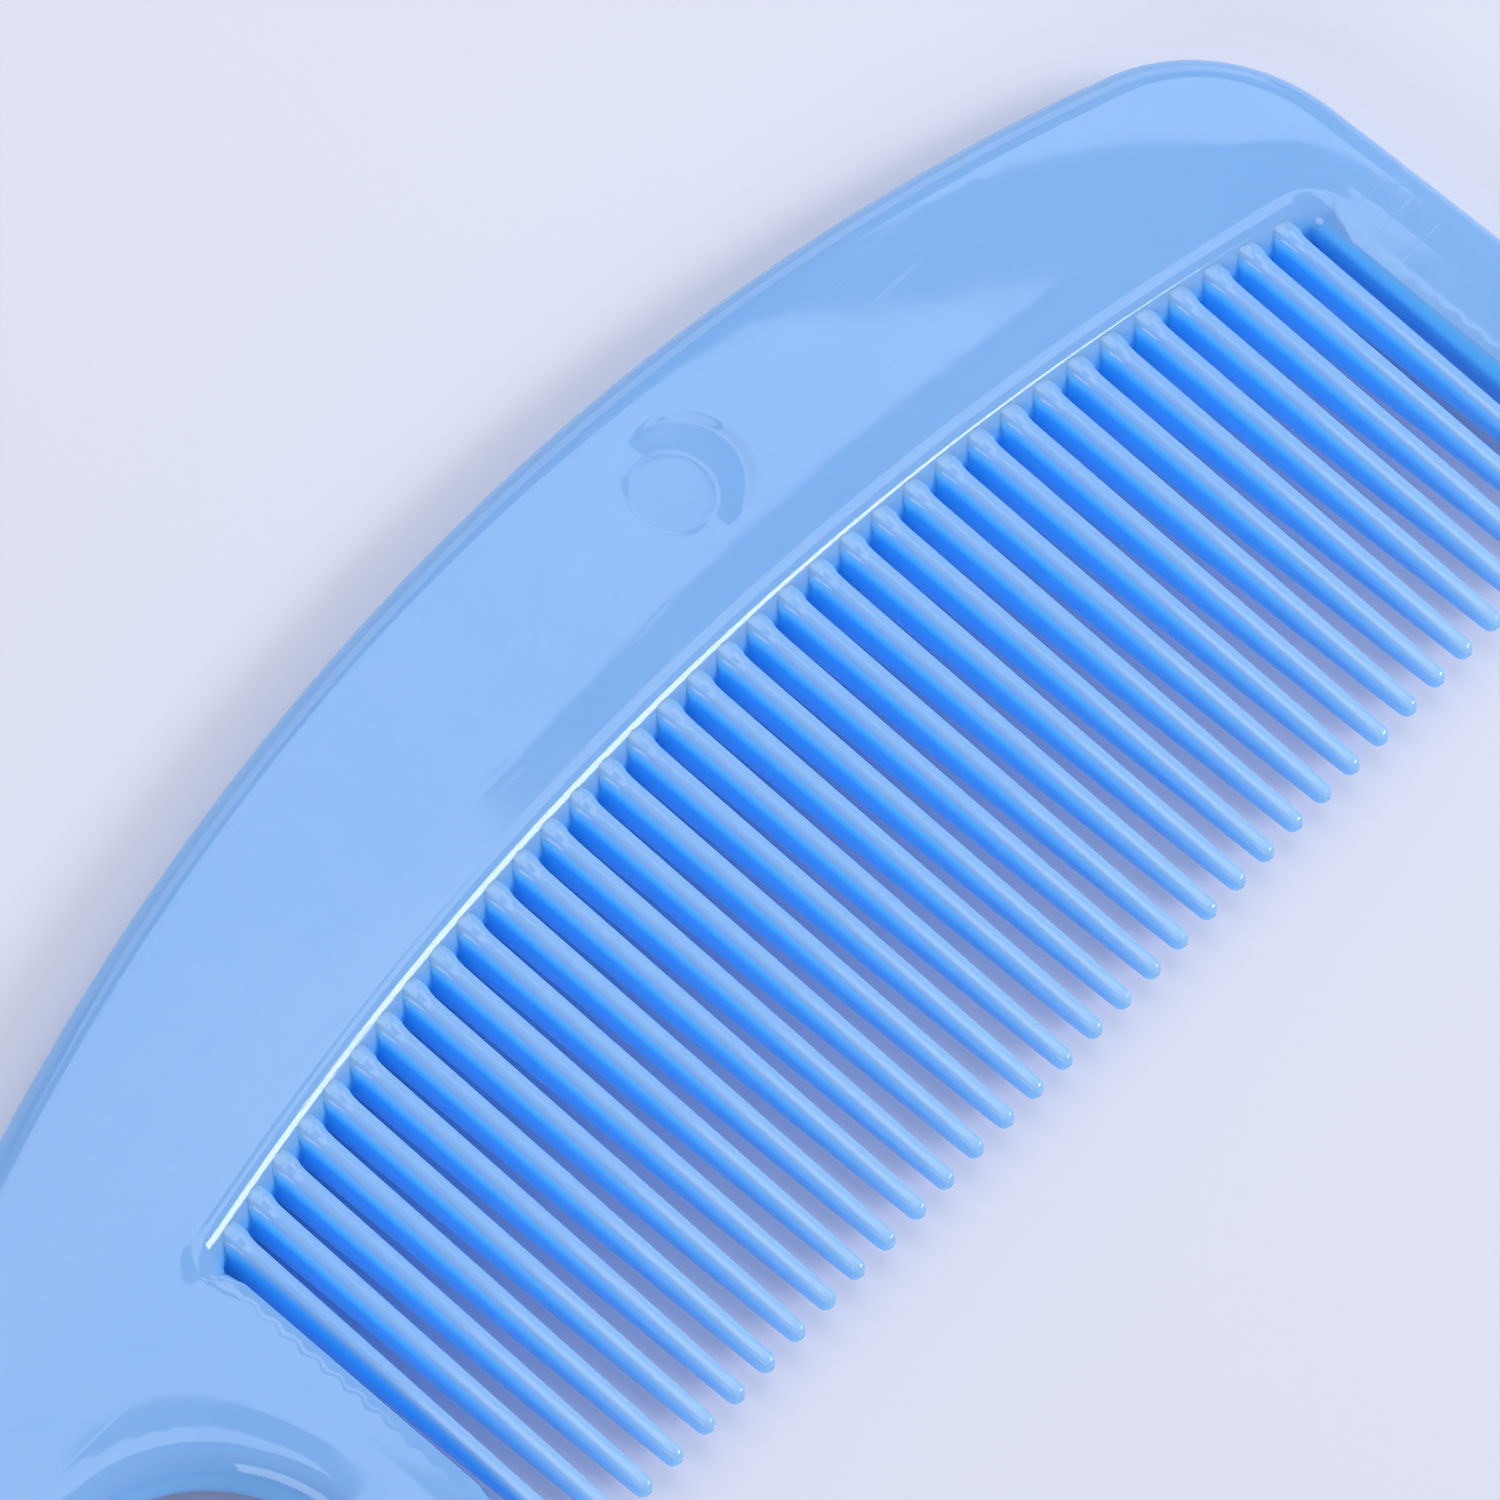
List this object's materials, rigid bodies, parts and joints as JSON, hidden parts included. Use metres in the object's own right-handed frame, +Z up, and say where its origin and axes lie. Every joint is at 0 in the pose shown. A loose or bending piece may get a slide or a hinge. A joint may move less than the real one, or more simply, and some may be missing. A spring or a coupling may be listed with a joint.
{
  "type": "grooming comb",
  "caption": "Flat plastic grooming comb with an arched spine, a straight row of tapered teeth between two guards, and a finger hole in its handle.",
  "frame": {"origin": "middle of the bounding box's underside, on the surface that the comb lies on", "axes": "+X along the comb from its handle to its toe, +Y from the tooth tips to the back of the spine, +Z up from the face that the comb lies on"},
  "size_m": [0.1844, 0.0514, 0.005],
  "materials": {
    "blue_plastic": "glossy injection-moulded light blue plastic, slightly translucent, with a soft waviness in its gloss"
  },
  "bodies": {
    "root": {"comb_body": "blue_plastic", "tooth_01": "blue_plastic", "tooth_02": "blue_plastic", "tooth_03": "blue_plastic", "tooth_04": "blue_plastic", "tooth_05": "blue_plastic", "tooth_06": "blue_plastic", "tooth_07": "blue_plastic", "tooth_08": "blue_plastic", "tooth_09": "blue_plastic", "tooth_10": "blue_plastic", "tooth_11": "blue_plastic", "tooth_12": "blue_plastic", "tooth_13": "blue_plastic", "tooth_14": "blue_plastic", "tooth_15": "blue_plastic", "tooth_16": "blue_plastic", "tooth_17": "blue_plastic", "tooth_18": "blue_plastic", "tooth_19": "blue_plastic", "tooth_20": "blue_plastic", "tooth_21": "blue_plastic", "tooth_22": "blue_plastic", "tooth_23": "blue_plastic", "tooth_24": "blue_plastic", "tooth_25": "blue_plastic", "tooth_26": "blue_plastic", "tooth_27": "blue_plastic", "tooth_28": "blue_plastic", "tooth_29": "blue_plastic", "tooth_30": "blue_plastic", "tooth_31": "blue_plastic", "tooth_32": "blue_plastic", "tooth_33": "blue_plastic", "tooth_34": "blue_plastic", "tooth_35": "blue_plastic", "tooth_36": "blue_plastic"}
  },
  "joints": []
}
